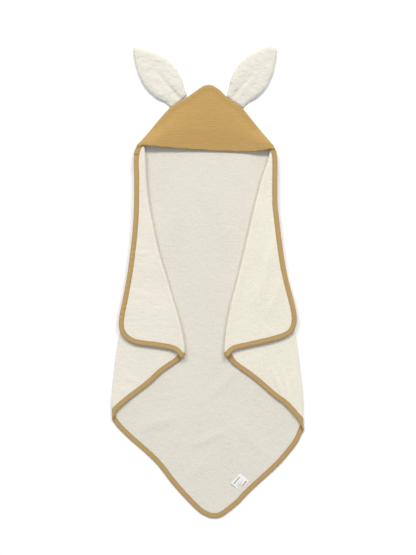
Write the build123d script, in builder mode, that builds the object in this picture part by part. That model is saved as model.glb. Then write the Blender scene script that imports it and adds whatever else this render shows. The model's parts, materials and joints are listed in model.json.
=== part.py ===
"""Hooded baby towel with two ears, lying flat with both side corners pleated inwards.

One square of terry is bound all round with cotton tape. A two-ply hood is sewn over its top corner, and two
ears stand out of the hood's seam. Each side corner is folded in and back out again, so three layers lie on
each other there: the centre layer, an under layer with its back face up, and a flap. The pleats open about
their two fold lines, the ears turn over the hood about their roots, and the care label turns about its seam.

Frame: millimetres, +Z up, +Y towards the hood, origin under the middle of the centre panel, on the surface
that the towel lies on.
"""

import os
from math import atan2, cos, degrees, radians, sin

from build123d import *

# Cloth
TERRY = 3.2  # pile to pile
LEAF = 0.6  # one leaf of the binding tape
RIM = TERRY - 2 * LEAF  # terry squeezed between the tape's two leaves
BINDING_WIDTH = 12.3
STITCH_INSET = 10.2  # from the cut edge to the row of stitches
STITCH_WIDTH = 0.6
STITCH_DEPTH = 0.3  # the stitches are pulled into the tape, flush with its face
LAYER_PITCH = 6.4  # from one folded layer to the next
FOLD_GAP = 0.2  # each layer stops this short of its fold line

# Square of terry, as it lies
BOTTOM_CORNER = (15, -605)
BOTTOM_RADIUS = 48
FLAP_CORNER_RADIUS = 38
MARGIN = 250  # how far an outline runs on past the line that trims it

# Pleats: places as (distance out from the middle line, Y)
PLEATS = {
    "left": {
        "hand": -1,
        "outer_fold": ((166, 322), (233, -300)),
        "inner_fold": ((147, 311), (59, -174)),
        "flap_top": (176, 311),
        "flap_corner": (217, -140),
    },
    "right": {
        "hand": 1,
        "outer_fold": ((160, 322), (233, -352)),
        "inner_fold": ((146, 311), (43, -171)),
        "flap_top": (165, 311),
        "flap_corner": (222, -128),
    },
}

# Hood
HOOD_PLY = 0.6
MOUTH_Y = 322
HOOD_APEX = (-4, 492)
HOOD_APEX_RADIUS = 49
HOOD_LEFT_TIP = (-184, MOUTH_Y)
HOOD_RIGHT_TIP = (171, MOUTH_Y)
HOOD_SIDE_BULGE = 14.5  # how far each side bows out from a straight line
HOOD_SEAM = 16  # flat rim of both plies, partly under the binding
DOME_INSET = 13  # where the pocket's wall starts to rise
DOME_SLOPE = 22  # how far inwards it rises
DOME_TOP = 19  # height of its roof

# Ears, in the frame of their root line: (distance along the ear, half its width there)
EAR_OUTLINE = ((0, 23), (38, 37), (75, 43), (112, 36), (142, 21), (161, 8))
EAR_LENGTH = 167
EAR_ROOT = 20  # how far the ear's outline runs on under the seam before it is trimmed
EAR_PLY = 2.2
EAR_GAP = 0.4  # from the hood's binding to the ear
EARS = {
    "left": {"hand": -1, "along_side": 0.65, "lean": 0},
    "right": {"hand": 1, "along_side": 0.65, "lean": 4.5},
}

# Care label on the right of the bottom corner
LABEL_FROM_CORNER = 128
LABEL_WIDTH = 34
LABEL_LENGTH = 30
LABEL_THICK = 0.6
LABEL_GAP = 0.3

HOOD_TOP = LEAF + RIM + 2 * HOOD_PLY + LEAF  # top of the hood's binding
UNDER_Z = LAYER_PITCH
FLAP_Z = 2 * LAYER_PITCH
FOLD_RADIUS = LAYER_PITCH / 2
OUTER_AXIS_Z = TERRY / 2 + FOLD_RADIUS
INNER_AXIS_Z = OUTER_AXIS_Z + LAYER_PITCH


def keep(name, part):
    """Labels a finished piece and writes it."""
    part.label = name
    export_step(part, f"parts/{name}.step")


def print_hinge(name, point, along):
    """Prints where a hinge's axis lies, for the record."""
    print(name, "hinge at", [round(point.X, 2), round(point.Y, 2)], "along",
          [round(along.X, 5), round(along.Y, 5)])


def mirrored(point, hand):
    """A place given as (distance out, Y), on the side that hand says."""
    return (hand * point[0], point[1])


def toward(start, end, distance):
    """The point that far from start on the line to end, and on past it."""
    start, end = Vector(*start), Vector(*end)
    point = start + (end - start).normalized() * distance
    return (point.X, point.Y)


def shifted(start, end, distance):
    """The line from start to end, moved sideways to its left by distance."""
    start, end = Vector(*start), Vector(*end)
    side = (end - start).normalized().rotate(Axis.Z, 90) * distance
    return [((p + side).X, (p + side).Y) for p in (start, end)]


def polygon(corners, level, grow=0.0, rounded=None, radius=0.0):
    """A face with straight sides at a height, with one corner rounded, grown all round by grow."""
    with BuildSketch(Plane.XY.offset(level)) as face:
        with BuildLine():
            Polyline(*corners, close=True)
        make_face()
        if rounded is not None:
            nearest = face.vertices().sort_by_distance(Vector(*rounded, level))[0]
            fillet(nearest, radius)
        if grow:
            offset(amount=grow, kind=Kind.INTERSECTION)
    return face.sketch


def bound_layer(name, corners, rounded, radius, zone, level):
    """One layer of terry with the tape and the stitches along its cut edge, trimmed to its zone."""

    def outline(height, grow=0.0):
        return polygon(corners, height, grow, rounded, radius)

    with BuildPart() as panel:
        extrude(outline(level, -BINDING_WIDTH), amount=TERRY)
        extrude(outline(level + LEAF), amount=RIM)
        extrude(polygon(zone, level), amount=TERRY, mode=Mode.INTERSECT)
    with BuildPart() as thread:
        groove = level + TERRY - STITCH_DEPTH
        extrude(outline(groove, -STITCH_INSET), amount=STITCH_DEPTH)
        inner = outline(groove, -STITCH_INSET - STITCH_WIDTH)
        extrude(inner, amount=STITCH_DEPTH, mode=Mode.SUBTRACT)
        extrude(polygon(zone, groove), amount=STITCH_DEPTH, mode=Mode.INTERSECT)
    with BuildPart() as binding:
        extrude(outline(level, LEAF), amount=TERRY)
        extrude(outline(level, -BINDING_WIDTH), amount=TERRY, mode=Mode.SUBTRACT)
        extrude(outline(level + LEAF), amount=RIM, mode=Mode.SUBTRACT)
        extrude(polygon(zone, level), amount=TERRY, mode=Mode.INTERSECT)
        add(thread.part, mode=Mode.SUBTRACT)
    keep(name + "_binding", binding.part)
    keep(name + "_stitching", thread.part)
    return panel.part


def fold_roll(name, start, end, height, outwards):
    """The half round of cloth that joins two layers along a fold line, bulging outwards."""
    start, end = Vector(*start, height), Vector(*end, height)
    along = (end - start).normalized()
    side = along.cross(Vector(0, 0, 1)) * outwards
    with BuildPart() as roll:
        with BuildSketch(Plane(origin=start, x_dir=side, z_dir=along)):
            Circle(FOLD_RADIUS + TERRY / 2)
            Circle(FOLD_RADIUS - TERRY / 2, mode=Mode.SUBTRACT)
            with Locations((LAYER_PITCH, 0)):
                Rectangle(2 * LAYER_PITCH, 2 * LAYER_PITCH, mode=Mode.INTERSECT)
        extrude(amount=(end - start).length)
    keep(name, roll.part)


def hood_side(hand):
    """One of the hood's sides, from its tip up to the apex."""
    tip = HOOD_LEFT_TIP if hand < 0 else HOOD_RIGHT_TIP
    return SagittaArc(tip, HOOD_APEX, -hand * HOOD_SIDE_BULGE)


def hood_outline(level, grow=0.0):
    """The hood's outline, with straight sides run on below the mouth, where it is trimmed later."""
    left_foot = (HOOD_LEFT_TIP[0], MOUTH_Y - MARGIN)
    right_foot = (HOOD_RIGHT_TIP[0], MOUTH_Y - MARGIN)
    with BuildSketch(Plane.XY.offset(level)) as face:
        with BuildLine():
            hood_side(-1)
            hood_side(1)
            Polyline(HOOD_RIGHT_TIP, right_foot, left_foot, HOOD_LEFT_TIP)
        make_face()
        if grow:
            offset(amount=grow, kind=Kind.INTERSECTION)
        apex = face.vertices().sort_by(Axis.Y)[-1]
        fillet(apex, HOOD_APEX_RADIUS + grow)
    return face.sketch


def above_mouth():
    """Trims the part in hand to the hood's side of its mouth."""
    split(bisect_by=Plane(origin=(0, MOUTH_Y, 0), z_dir=(0, 1, 0)), keep=Keep.TOP)


def dome(shrink):
    """The pocket's solid shape under the hood, shrunk all over by a ply or two."""
    with BuildPart() as shape:
        with BuildSketch(Plane.XY.offset(TERRY)):
            add(hood_outline(0, -DOME_INSET - shrink))
        with BuildSketch(Plane.XY.offset(DOME_TOP - shrink)):
            add(hood_outline(0, -DOME_INSET - DOME_SLOPE - shrink))
        loft(ruled=True)
        above_mouth()
    return shape.part


def towel_body():
    """The centre layer: the whole of the terry that isn't folded, with the hood's corner of it."""
    pleat_left, pleat_right = PLEATS["left"], PLEATS["right"]
    left_top, left_end = (mirrored(p, -1) for p in pleat_left["outer_fold"])
    right_top, right_end = pleat_right["outer_fold"]
    fold_left = shifted(left_top, left_end, FOLD_GAP)
    fold_right = shifted(right_end, right_top, FOLD_GAP)
    corners = [
        (-2 * MARGIN, HOOD_APEX[1]),
        toward(BOTTOM_CORNER, left_end, 3 * MARGIN),
        BOTTOM_CORNER,
        toward(BOTTOM_CORNER, right_end, 3 * MARGIN),
        (2 * MARGIN, HOOD_APEX[1]),
    ]
    zone = [
        (fold_left[0][0], MOUTH_Y),
        toward(*fold_left, 4 * MARGIN),
        toward(*reversed(fold_right), 4 * MARGIN),
        (fold_right[1][0], MOUTH_Y),
    ]
    lower = bound_layer("centre", corners, BOTTOM_CORNER, BOTTOM_RADIUS, zone, 0)
    with BuildPart() as corner:
        extrude(hood_outline(0, -HOOD_SEAM), amount=TERRY)
        extrude(hood_outline(LEAF), amount=RIM)
        above_mouth()
        add(lower)
    keep("centre_panel", corner.part)


def pleat(side, facts):
    """One pleated side corner: the under layer, the flap and the two folds that join the layers."""
    hand = facts["hand"]
    outer_top, outer_end = (mirrored(p, hand) for p in facts["outer_fold"])
    inner_top, inner_end = (mirrored(p, hand) for p in facts["inner_fold"])
    flap_top = mirrored(facts["flap_top"], hand)
    corner = mirrored(facts["flap_corner"], hand)
    outer_start = toward(outer_top, outer_end, outer_top[1] - inner_top[1])

    edge_in = toward(outer_end, inner_end, 3 * MARGIN)
    edge_out = toward(inner_end, outer_end, 3 * MARGIN)
    under_corners = [edge_out, edge_in, (0, 4 * MARGIN), (hand * 4 * MARGIN, 4 * MARGIN)]
    outer_line = shifted(outer_start, outer_end, -hand * FOLD_GAP)
    inner_line = shifted(inner_top, inner_end, hand * FOLD_GAP)
    under_zone = [
        outer_line[0],
        toward(*outer_line, 3 * MARGIN),
        toward(*inner_line, 3 * MARGIN),
        inner_line[0],
    ]
    under = bound_layer(side + "_under", under_corners, None, 0, under_zone, UNDER_Z)
    keep(side + "_under_panel", under)

    flap_corners = [
        toward(corner, flap_top, 3 * MARGIN),
        corner,
        toward(corner, inner_end, 3 * MARGIN),
        (-hand * 2 * MARGIN, 3 * MARGIN),
    ]
    flap_zone = [
        (hand * 2 * MARGIN, inner_top[1]),
        (hand * 2 * MARGIN, inner_end[1] - MARGIN),
        toward(*inner_line, 2.6 * MARGIN),
        inner_line[0],
    ]
    flap = bound_layer(
        side + "_flap", flap_corners, corner, FLAP_CORNER_RADIUS, flap_zone, FLAP_Z
    )
    keep(side + "_flap_panel", flap)

    fold_roll(side + "_outer_fold", outer_start, outer_end, OUTER_AXIS_Z, -hand)
    fold_roll(side + "_inner_fold", inner_top, inner_end, INNER_AXIS_Z, hand)


def hood():
    """The hood's outer ply, its lining, the tape round the seam and the row of stitches in it."""
    with BuildPart() as outer:
        extrude(hood_outline(TERRY), amount=HOOD_PLY)
        above_mouth()
        add(dome(0))
        add(dome(HOOD_PLY), mode=Mode.SUBTRACT)
    keep("hood_outer", outer.part)

    with BuildPart() as lining:
        extrude(hood_outline(TERRY - HOOD_PLY), amount=HOOD_PLY)
        extrude(hood_outline(TERRY - HOOD_PLY, -HOOD_SEAM), amount=HOOD_PLY, mode=Mode.SUBTRACT)
        above_mouth()
        add(dome(HOOD_PLY))
        add(dome(2 * HOOD_PLY), mode=Mode.SUBTRACT)
    keep("hood_lining", lining.part)

    with BuildPart() as thread:
        groove = HOOD_TOP - STITCH_DEPTH
        inner = hood_outline(groove, -STITCH_INSET - STITCH_WIDTH)
        extrude(hood_outline(groove, -STITCH_INSET), amount=STITCH_DEPTH)
        extrude(inner, amount=STITCH_DEPTH, mode=Mode.SUBTRACT)
        above_mouth()
    keep("hood_stitching", thread.part)

    with BuildPart() as binding:
        extrude(hood_outline(0, LEAF), amount=HOOD_TOP)
        extrude(hood_outline(0, -BINDING_WIDTH), amount=HOOD_TOP, mode=Mode.SUBTRACT)
        extrude(hood_outline(LEAF), amount=HOOD_TOP - 2 * LEAF, mode=Mode.SUBTRACT)
        above_mouth()
        add(thread.part, mode=Mode.SUBTRACT)
    keep("hood_binding", binding.part)


def ear(side, facts):
    """Two plies of terry in the shape of a leaf, rooted along the hood's seam."""
    with BuildLine() as side_line:
        hood_side(facts["hand"])
    arc = side_line.edges()[0]
    root, along = arc @ facts["along_side"], arc % facts["along_side"]
    out = along.rotate(Axis.Z, -90 * facts["hand"])
    base = root + out * (LEAF + EAR_GAP)
    turn = degrees(atan2(out.Y, out.X)) + facts["lean"]
    for ply, name in enumerate(("back", "front")):
        level = ply * EAR_PLY
        frame = Plane(origin=(base.X, base.Y, level), x_dir=(cos(radians(turn)), sin(radians(turn)), 0))
        with BuildPart() as leaf:
            with BuildSketch(frame):
                with BuildLine():
                    upper = [(-EAR_ROOT, EAR_OUTLINE[0][1]), *EAR_OUTLINE, (EAR_LENGTH, 0)]
                    lower = [(u, -v) for u, v in reversed(upper)]
                    Spline(*upper)
                    Spline(*lower)
                    Line(lower[-1], upper[0])
                make_face()
            extrude(amount=EAR_PLY)
            split(bisect_by=Plane(origin=(base.X, base.Y, 0), z_dir=(out.X, out.Y, 0)), keep=Keep.TOP)
        keep(f"ear_{side}_{name}", leaf.part)
    print_hinge(f"ear_{side}", base, along)


def care_label():
    """A small woven label, caught in the binding by one side."""
    corner = Vector(*BOTTOM_CORNER)
    along = (Vector(*PLEATS["right"]["outer_fold"][1]) - corner).normalized()
    inwards = along.rotate(Axis.Z, 90)
    seam = corner + along * LABEL_FROM_CORNER + inwards * BINDING_WIDTH
    middle = seam + inwards * (LABEL_LENGTH / 2 + LABEL_GAP)
    level = TERRY + LABEL_GAP
    with BuildPart() as label:
        with BuildSketch(Plane(origin=(middle.X, middle.Y, level), x_dir=along, z_dir=(0, 0, 1))):
            Rectangle(LABEL_WIDTH, LABEL_LENGTH)
        extrude(amount=LABEL_THICK)
    keep("care_label", label.part)
    print_hinge("care_label", seam, along)


os.makedirs("parts", exist_ok=True)
towel_body()
for side_name, side_facts in PLEATS.items():
    pleat(side_name, side_facts)
hood()
for side_name, side_facts in EARS.items():
    ear(side_name, side_facts)
care_label()
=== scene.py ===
import json
import math

import bpy
import numpy as np
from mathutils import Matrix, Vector, geometry


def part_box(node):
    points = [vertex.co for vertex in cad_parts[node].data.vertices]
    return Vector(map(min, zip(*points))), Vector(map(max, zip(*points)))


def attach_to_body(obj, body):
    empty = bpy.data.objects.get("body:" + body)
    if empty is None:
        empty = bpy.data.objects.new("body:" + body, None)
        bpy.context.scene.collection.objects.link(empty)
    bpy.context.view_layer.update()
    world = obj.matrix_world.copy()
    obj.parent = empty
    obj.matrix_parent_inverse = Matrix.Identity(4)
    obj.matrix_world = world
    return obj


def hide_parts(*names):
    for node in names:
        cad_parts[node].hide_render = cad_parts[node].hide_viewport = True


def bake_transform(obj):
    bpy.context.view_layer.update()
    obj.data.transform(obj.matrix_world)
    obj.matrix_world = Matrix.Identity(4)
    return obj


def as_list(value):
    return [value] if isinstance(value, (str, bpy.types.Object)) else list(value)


# A hooded baby towel, lying flat with both side corners pleated. Shapes are worked out in millimetres, on
# the flat cloth of each layer, and the layer's place function then puts them where they lie.
# The camera looks straight down, so that X runs to the photo's right and Y to its top.

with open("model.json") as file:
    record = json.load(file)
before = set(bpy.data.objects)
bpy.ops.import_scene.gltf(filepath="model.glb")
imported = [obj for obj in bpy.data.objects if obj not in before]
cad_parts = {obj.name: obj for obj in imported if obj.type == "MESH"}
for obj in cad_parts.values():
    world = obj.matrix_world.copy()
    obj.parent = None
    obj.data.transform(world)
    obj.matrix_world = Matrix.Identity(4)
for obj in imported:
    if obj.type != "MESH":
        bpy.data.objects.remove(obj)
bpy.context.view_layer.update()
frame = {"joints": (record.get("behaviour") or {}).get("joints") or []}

MM = 0.001
UP = np.array([0.0, 0.0, 1.0])

# Cloth, in millimetres
TERRY_HALF = 1.65          # half the towelling's thickness
SEAM_HALF = 1.0            # the same where the tape squeezes it
CLOTH_INSET = 1.2          # how far inside the tape's outer edge the cloth is cut
GAUZE_HALF = 0.55
LINING_HALF = 0.45
TAPE_WIDTH = 12.0
TAPE_WOBBLE = 0.16         # how uneven the tape is along its length
STITCH_INSET = 10.2
STITCH_LENGTH = 3.1
STITCH_GAP = 0.9
STITCH_HEIGHT = 1.66       # over the tape's middle
RIBBON_HALF = 0.18
INK_HALF = 0.03
INK_HEIGHT = 0.21          # over the ribbon's middle
LINING_GAP = 1.35          # between the middles of the hood's plies
CELL = 6.0                 # spacing of the towelling's mesh
FINE_CELL = 3.0            # spacing of most outlines, and of the hood's and ears' mesh

# Heights of the layers' middle surfaces.
CENTRE_Z, UNDER_Z, FLAP_Z = 2.0, 7.1, 14.6
FLOOR_GAP = 0.05           # the least height of the centre layer
CORNER_LIFT, CORNER_REACH = 2.9, 46.0        # of an under layer's corner, where the tape turns over
PRESSED, PRESSED_REACH = 0.7, 14.0           # how far an under layer is pressed down by its outer fold


# ---------------------------------------------------------------- curves and flat regions

def smooth(t):
    """0 below 0, 1 above 1, and a smooth step between."""
    t = np.clip(t, 0.0, 1.0)
    return t * t * (3 - 2 * t)


def evenly(path, step):
    """The same polyline with its points evenly spaced, about step apart."""
    path = np.asarray(path, float)
    lengths = np.r_[0, np.cumsum(np.linalg.norm(np.diff(path, axis=0), axis=1))]
    count = max(2, int(round(lengths[-1] / step)) + 1)
    at = np.linspace(0, lengths[-1], count)
    return np.stack([np.interp(at, lengths, path[:, k]) for k in range(path.shape[1])], axis=1)


def curve(points, step=3.0):
    """A smooth curve through points, as an evenly spaced polyline."""
    p = np.asarray(points, float)
    p = np.vstack([2 * p[0] - p[1], p, 2 * p[-1] - p[-2]])
    t = np.linspace(0, 1, 24, endpoint=False)[:, None]
    spans = []
    for a, b, c, d in zip(p[:-3], p[1:-2], p[2:-1], p[3:]):
        spans.append(0.5 * (2 * b + (c - a) * t + (2 * a - 5 * b + 4 * c - d) * t**2
                            + (3 * b - a - 3 * c + d) * t**3))
    spans.append(p[-2][None])
    return evenly(np.vstack(spans), step)


def side_normals(path):
    """Unit normals to the left of a flat path."""
    along = np.gradient(path, axis=0)
    along /= np.linalg.norm(along, axis=1)[:, None]
    return np.stack([-along[:, 1], along[:, 0]], axis=1)


def beside(path, inset):
    """The path moved to its left."""
    return path + side_normals(path) * inset


def distance_to(xy, path):
    """How far each point is from a polyline."""
    best = np.full(len(xy), 1e9)
    for a, b in zip(path[:-1], path[1:]):
        ab = b - a
        t = np.clip(((xy - a) @ ab) / max(ab @ ab, 1e-9), 0, 1)
        best = np.minimum(best, np.linalg.norm(xy - a - t[:, None] * ab, axis=1))
    return best


def inside(xy, outline):
    """Which points are inside a closed outline."""
    hit = np.zeros(len(xy), bool)
    for a, b in zip(outline, np.roll(outline, -1, axis=0)):
        crosses = (a[1] > xy[:, 1]) != (b[1] > xy[:, 1])
        if a[1] != b[1]:
            hit ^= crosses & (xy[:, 0] < (b[0] - a[0]) * (xy[:, 1] - a[1]) / (b[1] - a[1]) + a[0])
    return hit


def area_of(outline):
    x, y = outline[:, 0], outline[:, 1]
    return 0.5 * float(np.sum(x * np.roll(y, -1) - np.roll(x, -1) * y))


def lattice(low, high, cell):
    """Points on a triangular lattice."""
    rows = []
    for k, y in enumerate(np.arange(low[1], high[1], cell * math.sqrt(3) / 2)):
        x = np.arange(low[0] + (k % 2) * cell / 2, high[0], cell)
        rows.append(np.stack([x, np.full(len(x), y)], axis=1))
    return np.vstack(rows)


def rim_of(faces):
    """The edges that only one triangle has."""
    edges = dict.fromkeys((f[i], f[(i + 1) % 3]) for f in faces for i in range(3))
    return [(a, b) for a, b in edges if (b, a) not in edges]


def region(outline, cell, rows=None, by_rows=None):
    """Triangles that fill a closed outline: points, faces, and the edges round the rim.
    Where by_rows(xy) is true, rows are used in place of the lattice."""
    if area_of(outline) < 0:
        outline = outline[::-1]
    closed = np.vstack([outline, outline[:1]])
    grid = lattice(outline.min(0), outline.max(0), cell)
    grid = grid[inside(grid, outline)]
    grid = grid[distance_to(grid, closed) > 0.55 * cell]
    if rows is not None:
        rows = rows[inside(rows, outline)]
        rows = rows[distance_to(rows, closed) > 1.0]
        grid = np.vstack([grid[~by_rows(grid)], rows])
    points = [tuple(p) for p in np.vstack([outline, grid])]
    inside_only, tolerance = 1, 1e-5
    made = geometry.delaunay_2d_cdt(points, [], [list(range(len(outline)))], inside_only, tolerance)
    xy = np.array([tuple(v) for v in made[0]])
    faces = np.array(list(made[2]))
    return xy, faces, rim_of(faces)


def swell(xy, size, seed):
    """Smooth irregular waves of about that size, from -1 to 1."""
    rng = np.random.default_rng(seed)
    total = np.zeros(len(xy))
    for _ in range(9):
        angle = rng.uniform(0, 2 * math.pi)
        length = size * rng.uniform(0.7, 1.6)
        wave = xy @ np.array([math.cos(angle), math.sin(angle)]) * 2 * math.pi / length
        total += np.sin(wave + rng.uniform(0, 2 * math.pi))
    return total / 5.0


def ridge(xy, start, end, width, height):
    """A soft ridge in the cloth along a line, fading at both ends."""
    a, b = np.array(start, float), np.array(end, float)
    ab = b - a
    t = ((xy - a) @ ab) / (ab @ ab)
    off = np.linalg.norm(xy - a - np.clip(t, 0, 1)[:, None] * ab, axis=1)
    fade = smooth(np.clip(t, 0, 1) * 3) * smooth((1 - np.clip(t, 0, 1)) * 3)
    return height * fade * np.exp(-((off / width) ** 2))


# ---------------------------------------------------------------- meshes

def add_mesh(name, verts, faces, material, uv=None):
    """A smooth-shaded mesh object in the row frame. Verts are in millimetres."""
    mesh = bpy.data.meshes.new(name)
    mesh.from_pydata([tuple(v) for v in np.asarray(verts) * MM], [],
                     [tuple(int(i) for i in f) for f in faces])
    mesh.validate()
    mesh.polygons.foreach_set("use_smooth", [True] * len(mesh.polygons))
    if uv is not None:
        layer = mesh.uv_layers.new(name="flat")
        loops = np.zeros(len(mesh.loops), int)
        mesh.loops.foreach_get("vertex_index", loops)
        layer.data.foreach_set("uv", (np.asarray(uv) * MM)[loops].astype(np.float32).ravel())
    mesh.materials.append(material)
    piece = bpy.data.objects.new(name, mesh)
    bpy.context.scene.collection.objects.link(piece)
    return piece


def sheet_mesh(name, outline, cell, half, place, material, rows=None, by_rows=None):
    """A closed sheet over a flat outline: half(xy) is half its thickness, and place bends it to shape."""
    xy, faces, rim = region(outline, cell, rows, by_rows)
    thick = half(xy)
    verts = np.vstack([place(np.c_[xy, thick]), place(np.c_[xy, -thick])])
    n = len(xy)
    all_faces = [tuple(f) for f in faces]
    all_faces += [(f[0] + n, f[2] + n, f[1] + n) for f in faces]
    all_faces += [(b, a, a + n, b + n) for a, b in rim]
    return add_mesh(name, verts, all_faces, material, np.vstack([xy, xy]))


def extended(points, before=0.0, after=0.0):
    """Points of a path, carried straight on past either end."""
    points = np.asarray(points, float)
    if before:
        step = points[0] - points[1]
        points = np.vstack([points[0] + step / np.linalg.norm(step) * before, points])
    if after:
        step = points[-1] - points[-2]
        points = np.vstack([points, points[-1] + step / np.linalg.norm(step) * after])
    return points


# The tape's section, as (inset from its outer edge, height), round its outside and back round the inside
TAPE_SECTION = [(12.8, 1.35), (12.5, 1.75), (11.2, 1.9), (10.2, 1.62), (9.2, 1.92), (6.5, 2.05), (3.0, 2.0),
                (1.1, 1.6), (0.2, 0.8), (0.0, 0.0), (0.2, -0.8), (1.1, -1.6), (3.0, -2.0), (6.5, -2.05),
                (9.2, -1.92), (10.2, -1.62), (11.2, -1.9), (12.5, -1.75), (12.8, -1.35), (11.8, -1.1),
                (1.6, -1.0), (1.6, 1.0), (11.8, 1.1)]
# A stitch, as (place along it, rise, radius)
STITCH_PROFILE = [(-0.5, -0.25, 0.10), (-0.36, 0.22, 0.26), (0.0, 0.32, 0.3), (0.36, 0.22, 0.26),
                  (0.5, -0.25, 0.10)]


def everywhere(xy):
    """The keep function of a strip that isn't cut off."""
    return np.ones(len(xy))


def tube_faces(first, rows, count):
    """Faces of a capped tube made of rows of count points, the first point being number first."""
    faces = []
    for row in range(rows - 1):
        a = first + row * count
        for i in range(count):
            j = (i + 1) % count
            faces.append((a + i, a + j, a + count + j, a + count + i))
    last = first + (rows - 1) * count
    faces.append(tuple(range(first, first + count))[::-1])
    faces.append(tuple(range(last, last + count)))
    return faces


def cut_by(keep, path, normals, width):
    """Which steps of a strip are kept, and the least and greatest inset kept at each step."""
    edge_side, inner_side = keep(path), keep(path + normals * width)
    crossing = width * edge_side / np.where(edge_side == inner_side, 1, edge_side - inner_side)
    least = np.where(edge_side > 0, 0.0, crossing)
    most = np.where(inner_side > 0, width, crossing)
    return np.flatnonzero((edge_side > 0) | (inner_side > 0)), least, most


def tape_mesh(name, path, place, seed, keep=everywhere):
    """Sweeps the tape's section along a flat path, then puts it in place.
    It is cut off where keep(xy) is below 0, so that its end follows a fold line."""
    section = np.array(TAPE_SECTION)
    normals = side_normals(path)
    used, least, most = cut_by(keep, path, normals, section[:, 0].max())
    run = np.r_[0, np.cumsum(np.linalg.norm(np.diff(path, axis=0), axis=1))]
    bump = swell(np.c_[run, np.zeros(len(path))], 9.0, seed) * TAPE_WOBBLE
    flat, uv = [], []
    for k in used:
        tuck = 0.86 if k in (0, len(path) - 1) else 1.0          # a free end is pinched
        for inset, height in section:
            inset = np.clip(inset, least[k], most[k])
            edge = TAPE_WIDTH / 2 + (inset - TAPE_WIDTH / 2) * tuck + bump[k] * (inset / TAPE_WIDTH) * 0.6
            flat.append((*(path[k] + normals[k] * edge), height * (1 + bump[k] * 0.5) * tuck))
            uv.append((run[k], inset + height))
    faces = tube_faces(0, len(used), len(section))
    return add_mesh(name, place(np.array(flat)), faces, TAPE, np.array(uv))


def stitches_mesh(name, path, place, keep=everywhere):
    """Rows of single stitches along the tape, on its face and its back."""
    line = beside(path, STITCH_INSET)
    dots = evenly(line[keep(line) > 0.5], STITCH_LENGTH + STITCH_GAP)
    across = side_normals(dots)
    ring = [(math.cos(a), math.sin(a)) for a in np.linspace(0, 2 * math.pi, 6, endpoint=False)]
    flat, faces = [], []
    for side in (1, -1):
        for k in range(len(dots) - 1):
            faces += tube_faces(len(flat), len(STITCH_PROFILE), len(ring))
            middle, step = (dots[k] + dots[k + 1]) / 2, dots[k + 1] - dots[k]
            step = step / np.linalg.norm(step) * STITCH_LENGTH
            for along, rise, radius in STITCH_PROFILE:
                for c, up in ring:
                    spot = middle + step * along + across[k] * c * radius
                    flat.append((*spot, side * (STITCH_HEIGHT + rise + up * radius)))
    return add_mesh(name, place(np.array(flat)), faces, THREAD)


# ---------------------------------------------------------------- materials

def srgb(r, g, b):
    """8-bit screen colour to the linear colour that a shader takes."""
    return tuple(((c / 255 + 0.055) / 1.055) ** 2.4 if c > 10 else c / 3294 for c in (r, g, b)) + (1.0,)


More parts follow.
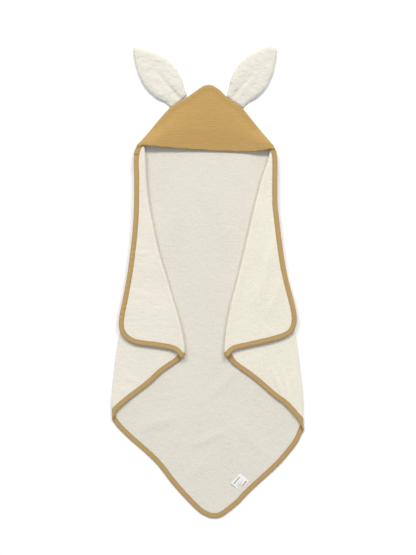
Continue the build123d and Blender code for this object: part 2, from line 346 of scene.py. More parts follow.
class Cloth:
    """A woven material, built up from its nodes."""

    def __init__(self, name, colour, roughness=0.95, sheen=0.25, sheen_tint=(1, 0.97, 0.9, 1)):
        self.material = bpy.data.materials.new(name)
        self.material.use_nodes = True
        self.nodes = self.material.node_tree.nodes
        self.links = self.material.node_tree.links
        self.shader = self.nodes["Principled BSDF"]
        self.shader.inputs["Base Color"].default_value = colour
        self.shader.inputs["Roughness"].default_value = roughness
        self.shader.inputs["Specular IOR Level"].default_value = 0.25
        self.shader.inputs["Sheen Weight"].default_value = sheen
        self.shader.inputs["Sheen Roughness"].default_value = 0.5
        self.shader.inputs["Sheen Tint"].default_value = sheen_tint
        self.colour = colour
        self.bumped = None

    def coordinates(self, scale=(1, 1, 1), turn=0.0, flat=False):
        """Places on the cloth: in the row frame, or along and across the piece itself."""
        if flat:
            source = self.nodes.new("ShaderNodeUVMap")
            source.uv_map = "flat"
            out = source.outputs["UV"]
        else:
            out = self.nodes.new("ShaderNodeTexCoord").outputs["Object"]
        mapping = self.nodes.new("ShaderNodeMapping")
        mapping.inputs["Scale"].default_value = scale
        mapping.inputs["Rotation"].default_value = (0, 0, math.radians(turn))
        self.links.new(out, mapping.inputs["Vector"])
        return mapping.outputs["Vector"]

    def noise(self, size, detail=2.0, stretch=(1, 1, 1), flat=False, distortion=0.0):
        """Noise with lumps of about that size in metres."""
        node = self.nodes.new("ShaderNodeTexNoise")
        node.inputs["Scale"].default_value = 1 / size
        node.inputs["Detail"].default_value = detail
        node.inputs["Distortion"].default_value = distortion
        self.links.new(self.coordinates(stretch, flat=flat), node.inputs["Vector"])
        return node.outputs["Fac"]

    def cells(self, size):
        """Round lumps of about that size in metres, like the loops of a pile."""
        node = self.nodes.new("ShaderNodeTexVoronoi")
        node.inputs["Scale"].default_value = 1 / size
        node.inputs["Randomness"].default_value = 0.85
        self.links.new(self.coordinates(), node.inputs["Vector"])
        return node.outputs["Distance"]

    def threads(self, size, turn=0.0, flat=False, distortion=1.0):
        """Parallel threads that far apart in metres. A wave texture's bands are 0.31 / scale apart."""
        node = self.nodes.new("ShaderNodeTexWave")
        node.inputs["Scale"].default_value = 0.31 / size
        node.inputs["Distortion"].default_value = distortion
        node.inputs["Detail"].default_value = 2.0
        self.links.new(self.coordinates(turn=turn, flat=flat), node.inputs["Vector"])
        return node.outputs["Fac"]

    def bump(self, height, depth, strength=1.0):
        """Raises the surface by depth metres where height is 1."""
        node = self.nodes.new("ShaderNodeBump")
        node.inputs["Distance"].default_value = depth
        node.inputs["Strength"].default_value = strength
        self.links.new(height, node.inputs["Height"])
        if self.bumped is not None:
            self.links.new(self.bumped, node.inputs["Normal"])
        self.bumped = node.outputs["Normal"]
        self.links.new(self.bumped, self.shader.inputs["Normal"])

    def tint(self, factor, dark, low=0.3, high=0.7):
        """Mixes the colour towards dark where factor is low."""
        ramp = self.nodes.new("ShaderNodeMapRange")
        ramp.inputs["From Min"].default_value = low
        ramp.inputs["From Max"].default_value = high
        self.links.new(factor, ramp.inputs["Value"])
        mix = self.nodes.new("ShaderNodeMix")
        mix.data_type = "RGBA"
        mix.inputs["A"].default_value = dark
        base = self.shader.inputs["Base Color"]
        if base.is_linked:
            self.links.new(base.links[0].from_socket, mix.inputs["B"])
        else:
            mix.inputs["B"].default_value = self.colour
        self.links.new(ramp.outputs["Result"], mix.inputs["Factor"])
        self.links.new(mix.outputs["Result"], base)


def shade(colour, share):
    """The colour with its brightness multiplied."""
    return tuple(c * share for c in colour[:3]) + (1.0,)


def terry(name, colour, crinkle=0.0012):
    """Towelling: a pile of loops 1.4 mm apart, in tufts and soft patches. crinkle is its waves' depth."""
    cloth = Cloth(name, colour, sheen=0.3)
    cloth.tint(cloth.noise(0.0034, 3), shade(colour, 0.86), 0.35, 0.6)
    cloth.tint(cloth.noise(0.010, 3), shade(colour, 0.945), 0.35, 0.65)
    cloth.tint(cloth.noise(0.11, 2), shade(colour, 0.975), 0.3, 0.7)
    cloth.bump(cloth.noise(0.012, 3, distortion=0.6), crinkle)
    cloth.bump(cloth.cells(0.0014), -0.0006)
    cloth.bump(cloth.noise(0.0038, 2), 0.0009, 0.7)
    return cloth.material


def gauze(name, colour):
    """Crinkled double gauze, quilted in squares of about 4 mm, with threads 0.9 mm apart."""
    cloth = Cloth(name, colour, sheen=0.12, sheen_tint=(1, 0.85, 0.6, 1))
    across = cloth.threads(0.0042, 90, distortion=5.0)
    down = cloth.threads(0.0046, 0, distortion=5.0)
    uneven = cloth.noise(0.007, 3, stretch=(0.4, 1, 1))
    cloth.tint(across, shade(colour, 0.985), 0.1, 0.6)
    cloth.tint(down, shade(colour, 0.99), 0.1, 0.6)
    cloth.tint(uneven, shade(colour, 0.95), 0.35, 0.65)
    cloth.tint(cloth.noise(0.06, 2), shade(colour, 0.98), 0.3, 0.7)
    cloth.bump(across, 0.00028)
    cloth.bump(down, 0.00025)
    cloth.bump(uneven, 0.0010)
    cloth.bump(cloth.threads(0.0009, 0), 0.0001)
    cloth.bump(cloth.threads(0.0009, 90), 0.0001)
    return cloth.material


def tape(name, colour):
    """Bias tape, with its threads 0.8 mm apart at 45 degrees to its length."""
    cloth = Cloth(name, colour, sheen=0.1, sheen_tint=(1, 0.85, 0.65, 1))
    cloth.tint(cloth.noise(0.0035, 2, flat=True, stretch=(1, 0.6, 1)), shade(colour, 0.93), 0.35, 0.65)
    cloth.tint(cloth.noise(0.05, 2), shade(colour, 0.96), 0.3, 0.7)
    cloth.bump(cloth.threads(0.0008, 45, flat=True), 0.00012)
    cloth.bump(cloth.threads(0.0008, -45, flat=True), 0.00012)
    cloth.bump(cloth.noise(0.006, 2, flat=True), 0.0006)
    return cloth.material


def plain(name, colour, size=0.0006):
    """Fine plain ribbon or thread."""
    cloth = Cloth(name, colour, roughness=0.8, sheen=0.1)
    cloth.bump(cloth.threads(size), 0.00006)
    cloth.tint(cloth.noise(0.004, 2), shade(colour, 0.95))
    return cloth.material


TERRY_CENTRE = terry("terry_centre", srgb(228, 222, 210))
# Painted light: the turned layers are the same towelling as the centre, given lighter colours where more
# light falls on them, and the right side lighter still.
TERRY_SIDES_PAINTED_LIGHTER = {             # painted lighter than the centre's same towelling; the right painted lighter still
    "left": terry("terry_left_painted_lighter", srgb(236, 229.5, 215.5)),
    "right": terry("terry_right_painted_lighter", srgb(239, 232.5, 216)),
}
TERRY_EAR = terry("terry_ear", srgb(233, 228.5, 216), crinkle=0.0030)
GAUZE = gauze("hood_gauze", srgb(191, 155, 95))
LINING = gauze("lining_gauze", srgb(196, 158, 97))
TAPE = tape("binding_tape", srgb(191, 158, 107))
THREAD = plain("thread", srgb(172, 134, 82))
LABEL = plain("label_ribbon", srgb(244, 243, 241), size=0.0005)
RED_PRINT = plain("label_print_red", srgb(222, 120, 122))
GREY_PRINT = plain("label_print_grey", srgb(150, 152, 156))


# ---------------------------------------------------------------- folds and the layers' places

JOINTS = {j["name"]: j for j in frame["joints"]}


class Fold:
    """A fold line: the layer past it lies on the side that normal points to."""

    def __init__(self, joint, towards_middle, bow=((-400, 0), (400, 0))):
        pos, axis = JOINTS[joint]["pos_m"], JOINTS[joint]["axis"]
        self.start = np.array(pos[:2]) / MM
        self.along = np.array(axis[:2]) * (-1 if axis[1] > 0 else 1)
        across = np.array([-self.along[1], self.along[0]])
        middle_side = -np.sign(self.start[0])
        if np.sign(across[0]) != (middle_side if towards_middle else -middle_side):
            across = -across
        self.normal = across
        self.bow = curve(bow, 2.0)

    def split(self, xy):
        """Distance along the fold, and distance out of it into the layer."""
        off = xy - self.start
        along = off @ self.along
        y = self.start[1] + along * self.along[1]
        return along, off @ self.normal - np.interp(-y, -self.bow[:, 0], self.bow[:, 1])

    def foot(self, y):
        """The points of the fold line at those heights up the towel."""
        y = np.atleast_1d(np.asarray(y, float))
        along = (y - self.start[1]) / self.along[1]
        offset = np.interp(-y, -self.bow[:, 0], self.bow[:, 1])
        return self.start + along[:, None] * self.along + offset[:, None] * self.normal


def centre_level(xy):
    """The middle surface of the layer on the floor, with its creases."""
    level = CENTRE_Z + 0.35 * (1 + swell(xy, 130, 3))
    level += ridge(xy, (-185, -362), (-55, -322), 13, 1.7) + ridge(xy, (-55, -410), (50, -360), 10, 1.6)
    level += ridge(xy, (0, -290), (85, -200), 10, 1.4) + ridge(xy, (60, -330), (150, -440), 14, 1.0)
    level += ridge(xy, (-70, -500), (10, -430), 12, 1.0) + ridge(xy, (-10, 230), (60, 60), 20, 0.8)
    return level


def under_level(side):
    """The middle surface of the layer turned in."""
    def level(xy):
        corner = np.array(FACTS[side]["corner"])
        lift = CORNER_LIFT * np.exp(-((np.linalg.norm(xy - corner, axis=1) / CORNER_REACH) ** 2))
        if side == "right":
            lift += (ridge(xy, (152, -205), (192, -300), 4, 2.6)
                     + ridge(xy, (176, -195), (204, -315), 4, 2.8))
            lift += ridge(xy, (203, -200), (215, -330), 4, 2.4)
        else:
            lift += (ridge(xy, (-215, -225), (-160, -248), 7, 0.9)
                     + ridge(xy, (-222, -262), (-178, -272), 6, 1.0))
        pressed = PRESSED * np.exp(-((FOLDS[side, "outer"].split(xy)[1] / PRESSED_REACH) ** 2))
        return UNDER_Z + 0.25 * (1 + swell(xy, 90, 11)) - pressed + lift
    return level


def flap_level(side):
    """The middle surface of the layer turned out again."""
    def level(xy):
        hand, tip = FACTS[side]["hand"], FOLDS[side, "inner"].foot(FACTS[side]["inner_end_y"])[0]
        lifted = tip + np.array([hand * 38.0, 0.0])
        lift = 3.6 * np.exp(-((np.linalg.norm((xy - lifted) / (38, 22), axis=1)) ** 2))
        level = FLAP_Z + 0.7 * (1 + swell(xy, 100, 21)) * smooth((335 - xy[:, 1]) / 60) + lift
        level += 1.6 * np.exp(-((FOLDS[side, "inner"].split(xy)[1] / 9) ** 2))
        if side == "left":
            within = smooth((xy[:, 1] + 150) / 60) * smooth((150 - xy[:, 1]) / 60)
            fine = np.sin(xy[:, 1] / 2.1 + 1.6 * swell(xy, 60, 31)) * (0.5 + 0.5 * swell(xy, 45, 32))
            level += 0.8 * within * fine * smooth((FOLDS[side, "inner"].split(xy)[1] - 8) / 30)
            level += (ridge(xy, (-205, -20), (-120, -42), 7, 0.9)
                      + ridge(xy, (-200, 62), (-122, 74), 6, 0.8))
        else:
            level += (ridge(xy, (172, 130), (112, -75), 10, 2.2)
                      + ridge(xy, (192, 30), (138, -105), 9, 1.8))
        return level
    return level


def on_centre(points):
    """Puts flat points of the centre layer in place: x, y and height over its middle surface."""
    height = centre_level(points[:, :2]) + points[:, 2]
    return np.c_[points[:, :2], np.maximum(height, FLOOR_GAP)]


def roll_radius(lower, upper, foot):
    """The radius of the roll that joins two layers, to the cloth's middle."""
    return np.maximum((upper(foot) - lower(foot)) / 2, 0.5)


def folded_place(fold, lower, upper, face):
    """Puts flat points of a folded layer in place. Past the fold line the cloth rolls down to the layer
    below. face is 1 where the towel's face side is up, and -1 where it is down."""
    def place(points):
        xy, height = points[:, :2], points[:, 2] * face
        along, out = fold.split(xy)
        y = fold.start[1] + along * fold.along[1]
        foot = fold.foot(y)
        top, bottom = upper(foot), lower(foot)
        radius = roll_radius(lower, upper, foot)
        turn = np.clip(-out / radius, 0, math.pi)
        reach = (radius + height) * np.sin(turn)
        rolled = np.c_[foot - fold.normal * reach[:, None],
                       (top + bottom) / 2 + (radius + height) * np.cos(turn)]
        flat = np.c_[xy, upper(xy) + height]
        past = foot + fold.normal * (-out - math.pi * radius)[:, None]
        under = np.c_[past, lower(past) - height]
        placed = np.where((out >= 0)[:, None], flat, rolled)
        return np.where((out < -math.pi * radius)[:, None], under, placed)
    return place


def strip_side(fold, lower, upper, ys):
    """The far side of the rolled strip, on the flat cloth."""
    foot = fold.foot(ys)
    return foot - fold.normal * (math.pi * roll_radius(lower, upper, foot))[:, None]


def roll_rows(fold, lower, upper, ys):
    """Points on the roll, in rows along it. None is half way round."""
    foot = fold.foot(ys)
    radius = roll_radius(lower, upper, foot)
    rows = [foot + fold.normal * 2.5]
    for turn in (0, 28, 56, 124, 152):
        rows.append(foot - fold.normal * (math.radians(turn) * radius)[:, None])
    return np.vstack(rows)


def unrolled(fold, lower, upper, point):
    """Where a point of the layer below is, on the flat cloth of the folded layer."""
    point = np.array([point], float)
    foot = fold.foot(point[0, 1])
    radius = roll_radius(lower, upper, foot)
    out = fold.split(point)[1]
    return (point - fold.normal * (2 * out + math.pi * radius)[:, None])[0]


def to_roll_end(fold, lower, upper, xy):
    """How far flat points are from the far end of the roll, where the layer below starts."""
    return fold.split(xy)[1] + math.pi * roll_radius(lower, upper, fold.foot(xy[:, 1]))


# Where the cut edges and the folds run on each layer as it lies. These points, and the hood's and the ears',
# were measured: picked out of edge positions that scratch programs printed from the photo, put into
# millimetres and rounded, or read off enlarged views of it. The inner folds' bows were then corrected by a
# program's comparison of the creases with a render.
# A bow is how far a fold leaves its straight joint axis, as (height up the towel, offset).
TOP_Y = 332          # the pleats end here, under the hood
FACTS = {
    "left": {
        "hand": -1,
        "corner": (-233, -325),
        "lower_end": (-220.5, -356),
        "centre_end_y": -345,
        "outer_end_y": -329,
        "outer_bow": [(400, 0), (245, 0), (150, 8), (30, 9.5), (-88, 2.5), (-190, -1.5), (-280, -1),
                      (-318, 5.5), (-345, 9), (-360, 14)],
        "under_edge": [(-223, -316), (-211, -304), (-185, -283), (-142, -250), (-112, -222), (-76, -197)],
        "inner_end_y": -187,
        "inner_bow": [(400, 9), (320, 10.5), (296, 13), (262, 18), (225, 21.5), (180, 23.5), (78, 20.5),
                      (-20, 9.5), (-93, 1.5), (-130, -0.5), (-160, 0.5), (-178, 5.5), (-194, 15)],
        "flap_start_y": -183,
        "flap_edge": [(-81, -169), (-105, -162), (-140, -157), (-179, -151), (-202, -138), (-215, -119),
                      (-217, -90), (-205, -27), (-193, 45), (-182, 150), (-180, 245), (-181, 300),
                      (-175, 330)],
        "flap_top": (-166, 342),
    },
    "right": {
        "hand": 1,
        "corner": (229, -352),
        "lower_end": (223.5, -383),
        "centre_end_y": -370,
        "outer_end_y": -354,
        "outer_bow": [(400, 0), (309, 1), (190, 11.5), (75, 10), (-15, 1), (-147, -3), (-270, -4),
                      (-309, -0.5), (-345, 4.5), (-370, 5), (-400, 16)],
        "under_edge": [(222, -340), (213, -329), (198, -312), (182, -297), (158, -279), (110, -238),
                       (62, -203)],
        "inner_end_y": -185,
        "inner_bow": [(400, 9), (305, 8.5), (262, 4), (213, 0.5), (84, -2), (0, -4), (-50, -6.5),
                      (-110, -6), (-156, -1), (-175, 4.5), (-192, 15)],
        "flap_start_y": -181,
        "flap_edge": [(64, -167), (101, -158), (152, -146), (186, -136), (207, -122), (216, -98),
                      (213, -62), (189, 38), (172, 165), (169, 212), (169, 300), (162, 328)],
        "flap_top": (154, 339),
    },
}
BOTTOM_EDGE = [(-220.5, -357), (-194, -383), (-130, -441), (-82, -501), (-30, -556), (-5, -573), (14, -578),
               (36, -573), (74, -544), (103, -514), (167, -455), (193, -427), (216, -398), (226, -380)]
HOOD_EDGE = [(-181, 311), (-180, 317), (-174, 330), (-156, 353), (-131, 384), (-109, 410), (-88, 431),
             (-68, 444), (-49, 454), (-28, 469), (-9, 481), (9, 482), (29, 470), (45, 454), (64, 442),
             (83, 427), (102, 404), (155, 338), (162, 328), (167, 317), (168, 309)]

FOLDS = {}
for side_name, facts in FACTS.items():
    FOLDS[side_name, "outer"] = Fold(side_name + "_unfold", True, facts["outer_bow"])
    FOLDS[side_name, "inner"] = Fold(side_name + "_flap_turn", False, facts["inner_bow"])


def terry_half(bound_paths):
    """Half the towelling's thickness: full, and squeezed along its bound edges."""
    def half(xy):
        near = np.min([distance_to(xy, p) for p in bound_paths], axis=0)
        return SEAM_HALF + (TERRY_HALF - SEAM_HALF) * smooth((near - TAPE_WIDTH + 2) / 3.0)
    return half


def bound(name, path, place, seed, keep=everywhere):
    """The tape along a cut edge, with its stitches."""
    made = [tape_mesh(name + "_tape", path, place, seed, keep),
            stitches_mesh(name + "_stitches", path, place, keep)]
    return made


def attach(pieces, body=None):
    """Rides pieces on one body, or else leaves them fixed where they are placed."""
    for piece in pieces:
        if body:
            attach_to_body(piece, body)
        else:
            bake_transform(piece)


def closed_outline(*parts, step=FINE_CELL):
    """One closed outline from the parts of it, evenly spaced."""
    outline = np.vstack(parts)
    return evenly(np.vstack([outline, outline[:1]]), step)[:-1]


def centre_layer():
    """The layer on the floor, from the bottom corner to the corner under the hood."""
    left, right = FOLDS["left", "outer"], FOLDS["right", "outer"]
    end_l, end_r = FACTS["left"]["centre_end_y"], FACTS["right"]["centre_end_y"]
    edge = curve(extended([left.foot(end_l)[0], *BOTTOM_EDGE, right.foot(end_r)[0]], 16, 16))

    def keep(xy):
        return np.minimum(left.split(xy)[1], right.split(xy)[1])

    hood_line = curve(HOOD_EDGE)
    hood_terry = beside(hood_line[::-1], CLOTH_INSET)
    hood_terry = hood_terry[hood_terry[:, 1] > TOP_Y + 8]
    bottom = beside(edge, CLOTH_INSET)
    bottom = bottom[keep(bottom) > 1.0]
    outline = closed_outline(left.foot(np.arange(TOP_Y, end_l + 8, -5.0)), bottom,
                             right.foot(np.arange(end_r + 8, TOP_Y, 5.0)), hood_terry)
    panel = sheet_mesh("centre_panel_cloth", outline, CELL, terry_half([edge, hood_line]), on_centre,
                       TERRY_CENTRE)
    trims = bound("centre", edge, on_centre, seed=5, keep=keep)
    attach([panel, *trims], body="towel")
    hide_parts("centre_panel")
    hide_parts("centre_binding")
    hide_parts("centre_stitching")
    abs(area_of(outline)) * MM * MM


def folded_layer(side, layer, fold, edge_points, place, lower, upper, keep, far_end, rest_of_outline,
                 seed):
    """The cloth, tape and stitches of a layer that starts at a fold, and the cloth's area."""
    edge = curve(edge_points)
    clockwise = layer == "under" and side == "right" or layer == "flap" and side == "left"
    if clockwise:
        edge = edge[::-1]
    rim = beside(edge, CLOTH_INSET)
    rim = rim[keep(rim) > 0.5]
    if clockwise:
        rim = rim[::-1]
    far = strip_side(fold, lower, upper, np.arange(TOP_Y, far_end, -5.0))
    outline = closed_outline(far, rim, *rest_of_outline)
    name = f"{side}_{layer}"
    panel = sheet_mesh(name + "_cloth", outline, CELL, terry_half([edge]), place, TERRY_SIDES_PAINTED_LIGHTER[side],
                       rows=roll_rows(fold, lower, upper, np.arange(TOP_Y, far_end - 30, -3.5)),
                       by_rows=lambda xy: fold.split(xy)[1] < 6)
    trims = bound(name, edge, place, seed=seed, keep=keep)
    attach([panel, *trims])
    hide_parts(name + "_panel", side + ("_outer_fold" if layer == "under" else "_inner_fold"))
    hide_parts(name + "_binding")
    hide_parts(name + "_stitching")
    return panel, trims, abs(area_of(outline)) * MM * MM


def under_layer(side):
    """The layer turned in over the centre, back face up."""
    facts, fold, inner = FACTS[side], FOLDS[side, "outer"], FOLDS[side, "inner"]
    level = under_level(side)
    place = folded_place(fold, centre_level, level, -1)
    end_y = facts["centre_end_y"]

    def keep(xy):
        return np.minimum(to_roll_end(fold, centre_level, level, xy), inner.split(xy)[1])

    points = [unrolled(fold, centre_level, level, facts["lower_end"]),
              strip_side(fold, centre_level, level, [end_y])[0],
              fold.foot(facts["outer_end_y"])[0], *facts["under_edge"],
              inner.foot(facts["inner_end_y"])[0]]
    inner_line = inner.foot(np.arange(facts["inner_end_y"] + 8, TOP_Y, 5.0))
    panel, trims, area = folded_layer(side, "under", fold, extended(points, 0, 16), place, centre_level,
                                      level, keep, end_y + 8, [inner_line], 7)
    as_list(trims)


def flap_layer(side):
    """The layer turned out again, with the towel's side corner."""
    facts, fold = FACTS[side], FOLDS[side, "inner"]
    lower, level = under_level(side), flap_level(side)
    place = folded_place(fold, lower, level, 1)
    end_y = facts["inner_end_y"]

    def keep(xy):
        return to_roll_end(fold, lower, level, xy)

    points = [unrolled(fold, lower, level, facts["under_edge"][-1]),
              strip_side(fold, lower, level, [end_y])[0],
              fold.foot(facts["flap_start_y"])[0], *facts["flap_edge"], facts["flap_top"]]
    panel, trims, area = folded_layer(side, "flap", fold, points, place, lower, level, keep, end_y + 8, [],
                                      9)
    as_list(trims)


# ---------------------------------------------------------------- hood, ears and label

MOUTH = [(-181, 322), (-165, 331), (-150, 332), (-110, 328.5), (-60, 325), (-20, 322.5), (20, 320.5),
         (70, 318.5), (110, 318), (130, 320), (150, 323), (160, 322), (167, 318)]
# How high the mouth stands, as (x, height)
MOUTH_HEIGHT = [(-185, 18.5), (-168, 20.5), (-145, 22), (-110, 17), (-60, 12.5), (-20, 10), (30, 8.5),
                (80, 9), (110, 12), (132, 18), (150, 21), (170, 18.5)]


def hood_level(xy):
    """The hood's outer ply: sewn down along its sides, and its mouth stands open over both pleats."""
    from_sides = distance_to(xy, curve(HOOD_EDGE))
    mouth = curve(MOUTH)
    above_mouth = xy[:, 1] - np.interp(xy[:, 0], mouth[:, 0], mouth[:, 1])
    opening = curve(MOUTH_HEIGHT)
    opened = np.interp(xy[:, 0], opening[:, 0], opening[:, 1])
    sewn = 4.6 + 14.0 * (1 - smooth((xy[:, 1] - 334) / 42))
    sewn += 0.7 * smooth(from_sides / 2) * smooth((13.5 - from_sides) / 3)
    puff = 4.0 * smooth(above_mouth / 60) * smooth(from_sides / 60)
    free = 5.2 + (opened - 5.2) * (1 - smooth(above_mouth / 115)) + puff
    fine = 0.16 * np.sin(xy[:, 1] / 1.1 + 1.3 * swell(xy, 70, 41)) * (0.6 + 0.4 * swell(xy, 50, 43))
    fine *= 0.4 + 0.9 * smooth((60 - above_mouth) / 40)
    fine += 0.12 * swell(xy * (1, 0.35), 8, 42)
    return sewn + (free - sewn) * smooth(from_sides / 34) + fine * smooth(from_sides / 14)


def on_hood(points):
    return np.c_[points[:, :2], hood_level(points[:, :2]) + points[:, 2]]


def hood_cloth(edge):
    """The hood's outer ply."""
    covered = beside(edge, 2.2)
    covered = covered[covered[:, 1] > 322]
    outline = closed_outline(covered, curve(MOUTH)[2:-2])
    closed = np.vstack([outline, outline[:1]])

    def half(xy):
        return GAUZE_HALF * (0.35 + 0.65 * smooth(distance_to(xy, closed) / 1.6))

    return sheet_mesh("hood_cloth", outline, FINE_CELL, half, on_hood, GAUZE), area_of(outline)


def hood_lining(edge):
    """The hood's inner ply, just under the outer one and set back from the mouth."""
    covered = beside(edge, 4.0)
    covered = covered[covered[:, 1] > 328]
    outline = closed_outline(covered, curve(MOUTH)[3:-3] + (0, 3.5), step=2 * FINE_CELL)

    def half(xy):
        return np.full(len(xy), LINING_HALF)

    def below(points):
        return on_hood(points) - UP * LINING_GAP

    return sheet_mesh("hood_lining_cloth", outline, 2 * FINE_CELL, half, below, LINING), area_of(outline)


def hood():
    """Both plies, and the tape and stitches along the hood's sewn sides."""
    edge = curve(HOOD_EDGE)[::-1]
    outer, outer_area = hood_cloth(edge)
    lining, lining_area = hood_lining(edge)

    def on_rim(points):
        level = hood_level(points[:, :2]) - 2.0 - 1.9 * (1 - smooth((points[:, 1] - 326) / 25))
        return np.c_[points[:, :2], level + points[:, 2] * 1.12]

    trims = bound("hood", edge, on_rim, seed=3)
    attach([outer, lining, *trims], body="towel")
    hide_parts("hood_outer")
    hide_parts("hood_lining")
    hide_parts("hood_binding")
    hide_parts("hood_stitching")


EARS = {
    "left": {"base": (-71.5, 441), "tip": (-182.0, 576.5), "crease": 4.0},
    "right": {"base": (66.5, 439), "tip": (161.7, 576), "crease": -7.0},
}
EAR_SIDES = {   # half width along the ear, on the side away from the middle and on the side towards it
    "outer": [(0, 23), (20, 27), (42, 37), (75, 42), (110, 36), (140, 24), (157, 15), (166, 9)],
    "inner": [(0, 26), (20, 33), (40, 42), (75, 47), (110, 41), (140, 26), (157, 15), (166, 9)],
}


class Ear:
    """One ear, in flat coordinates of its own: v across it, and u up it from its base."""

    def __init__(self, side):
        facts = EARS[side]
        self.base, tip = np.array(facts["base"], float), np.array(facts["tip"], float)
        self.length = np.linalg.norm(tip - self.base)
        self.up = (tip - self.base) / self.length
        self.across = np.array([self.up[1], -self.up[0]])        # to the right, seen from the base
        self.crease = facts["crease"]
        left_kind, right_kind = ("outer", "inner") if side == "left" else ("inner", "outer")
        top = (0, self.length)
        right = curve([*[(w, u) for u, w in EAR_SIDES[right_kind]], top], FINE_CELL)
        left = curve([top, *[(-w, u) for u, w in EAR_SIDES[left_kind]][::-1]], FINE_CELL)
        self.outline = closed_outline(right, left[1:])
        self.closed = np.vstack([self.outline, self.outline[:1]])

    def to_row(self, vu):
        return self.base + vu[:, :1] * self.across + vu[:, 1:2] * self.up

    def fullness(self, vu):
        """1 where the ear is puffed out most, and 0 along its seam."""
        in_from_edge = np.clip(distance_to(vu, self.closed) / 14, 0, 1)
        round_edge = np.sqrt(in_from_edge * (2 - in_from_edge))
        return round_edge * (0.45 + 0.55 * smooth(np.clip(vu[:, 1], 0, None) / 45))

    def front(self, points):
        """The upper ply, with a crease up its middle and small pleats that fan out of its root."""
        vu = points[:, :2]
        full = self.fullness(vu)
        crease_at = self.crease * (1 - vu[:, 1] / self.length) * 1.6
        depth = smooth((108 - vu[:, 1]) / 70) * smooth((vu[:, 1] + 12) / 24)
        crease = 3.2 * depth * np.exp(-(((vu[:, 0] - crease_at) / 5.5) ** 2))
        fan = np.sin(14 * np.arctan2(vu[:, 0] - crease_at, vu[:, 1] + 25) + 1.5 * swell(vu, 60, 53))
        lift = 3.0 + 6.0 * full - crease + 0.35 * swell(vu, 26, 51) * full + 0.5 * depth * fan * full
        return np.c_[self.to_row(vu), lift + points[:, 2]]

    def back(self, points):
        """The lower ply."""
        vu = points[:, :2]
        return np.c_[self.to_row(vu), 2.6 - 1.2 * self.fullness(vu) + points[:, 2]]

    def half(self, vu):
        """Half a ply's thickness, thin at the seam."""
        return 0.25 + 0.95 * smooth(distance_to(vu, self.closed) / 2.5)


def ear(side):
    """Both plies of an ear."""
    shape = Ear(side)
    front = sheet_mesh(f"ear_{side}_front_cloth", shape.outline, FINE_CELL, shape.half, shape.front,
                       TERRY_EAR)
    back = sheet_mesh(f"ear_{side}_back_cloth", shape.outline, 2 * FINE_CELL, shape.half, shape.back,
                      TERRY_EAR)
    root, ahead = shape.base * MM, (shape.base + shape.up * 20) * MM
    for piece, node in ((front, f"ear_{side}_front"), (back, f"ear_{side}_back")):
        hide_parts(node)
        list(root)
        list(ahead)
        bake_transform(piece)
        abs(area_of(shape.outline)) * MM * MM


LABEL_WIDTH, LABEL_LENGTH = 34.0, 30.0
# Plain bars for its print, as (x, y, width, height, colour) from the middle of its seam
LABEL_PRINT = [(-14, 3.2, 28, 3.0, RED_PRINT), (-12, 10.0, 13, 0.7, GREY_PRINT),
               (-12, 12.6, 17, 0.7, GREY_PRINT), (-12, 15.2, 11, 0.7, GREY_PRINT),
               (-12, 23.0, 22, 2.2, GREY_PRINT)]


def label_place():
    """The function that puts flat points on the label: x along its seam, and y away from the seam."""
    joint = JOINTS["label_flip"]
    seam = np.array(joint["pos_m"][:2]) / MM
    along = np.array(joint["axis"][:2])
    inwards = np.array([-along[1], along[0]])
    base_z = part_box("care_label")[0].z / MM + 0.4

    def place(points):
        curl = 2.2 * smooth((points[:, 1] - 6) / 26) + 0.25 * np.sin(points[:, 0] / 6)
        flat = seam + points[:, :1] * along + points[:, 1:2] * inwards
        return np.c_[flat, base_z + curl + points[:, 2]]
    return place


def rectangle(x, y, width, height, step):
    """The outline of a rectangle, from its lower left corner."""
    return closed_outline([(x, y), (x + width, y), (x + width, y + height), (x, y + height)], step=step)


def care_label():
    """The ribbon caught in the tape near the bottom corner."""
    place = label_place()

    def raised(points):
        return place(points + (0, 0, INK_HEIGHT))

    def ribbon_half(xy):
        return np.full(len(xy), RIBBON_HALF)

    def ink_half(xy):
        return np.full(len(xy), INK_HALF)

    outline = rectangle(-LABEL_WIDTH / 2, -1.0, LABEL_WIDTH, LABEL_LENGTH + 1.0, 2.0)
    ribbon = sheet_mesh("care_label_ribbon", outline, 2.0, ribbon_half, place, LABEL)
    prints = []
    for k, (x, y, width, height, ink) in enumerate(LABEL_PRINT):
        bar = rectangle(x, y, width, height, 2.0 if height > 1.5 else 1.0)
        prints.append(sheet_mesh(f"label_print_{k}", bar, 1.5, ink_half, raised, ink))
    for piece in [ribbon, *prints]:
        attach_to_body(piece, "care_label")
    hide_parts("care_label")


# ---------------------------------------------------------------- room, light and camera

FLOOR_SIZE = 18e3
CAMERA_HEIGHT = 3.0
FRAME_HEIGHT = 1.35975     # metres of floor that fill the picture from top to bottom
WARM_WHITE = (1.0, 0.962, 0.90)


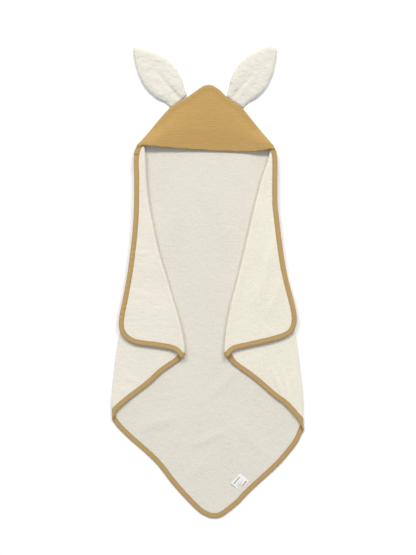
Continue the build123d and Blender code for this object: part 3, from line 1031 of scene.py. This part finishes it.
def floor():
    """A plain white floor under the towel."""
    far = FLOOR_SIZE / 2
    corners = np.array([(-far, -far, 0), (far, -far, 0), (far, far, 0), (-far, far, 0)])
    material = bpy.data.materials.new("floor")
    piece = add_mesh("floor", corners, [(0, 1, 2, 3)], material)
    material.use_nodes = True
    shader = material.node_tree.nodes["Principled BSDF"]
    shader.inputs["Base Color"].default_value = (0.99, 0.99, 0.99, 1)
    shader.inputs["Roughness"].default_value = 1.0
    shader.inputs["Specular IOR Level"].default_value = 0.0


def add_object(name, data):
    made = bpy.data.objects.new(name, data)
    bpy.context.scene.collection.objects.link(made)
    return made


def facing(direction):
    """The rotation of a lamp that shines that way."""
    return Vector(direction).to_track_quat("-Z", "Y").to_euler()


def lights():
    """A pale sky, a large lamp beyond the hood, and two suns that shade both pleats alike."""
    world = bpy.data.worlds.new("studio")
    world.use_nodes = True
    background = world.node_tree.nodes["Background"]
    background.inputs["Color"].default_value = (0.88, 0.94, 1, 1)
    background.inputs["Strength"].default_value = 0.55
    bpy.context.scene.world = world

    key = bpy.data.lights.new("key", "AREA")
    key.shape = "RECTANGLE"
    key.size, key.size_y = 2.6, 1.0
    key.color = (1.0, 0.975, 0.93)
    key.energy = 89
    lamp = add_object("key", key)
    lamp.location = (-0.1, 3.6, 3.4)
    lamp.rotation_euler = facing(Vector((0.0, 0.1, 0.0)) - lamp.location)

    for name, across in (("sun_left", 0.42), ("sun_right", -0.42)):
        sun = bpy.data.lights.new(name, "SUN")
        sun.energy = 0.84
        sun.angle = math.radians(14)
        sun.color = WARM_WHITE
        add_object(name, sun).rotation_euler = facing((across, -0.62, -0.70))


def camera():
    """Straight above the towel, like the photo's."""
    lens = bpy.data.cameras.new("camera")
    lens.sensor_width = 36
    lens.lens = lens.sensor_width * CAMERA_HEIGHT / FRAME_HEIGHT
    lens.clip_end = 50
    eye = add_object("camera", lens)
    eye.location = (0.0, 0.011, CAMERA_HEIGHT)
    bpy.context.scene.camera = eye
    bpy.context.scene.view_settings.view_transform = "Standard"


centre_layer()
for side_name in FACTS:
    under_layer(side_name)
    flap_layer(side_name)
hood()
for side_name in EARS:
    ear(side_name)
care_label()
floor()
lights()
camera()
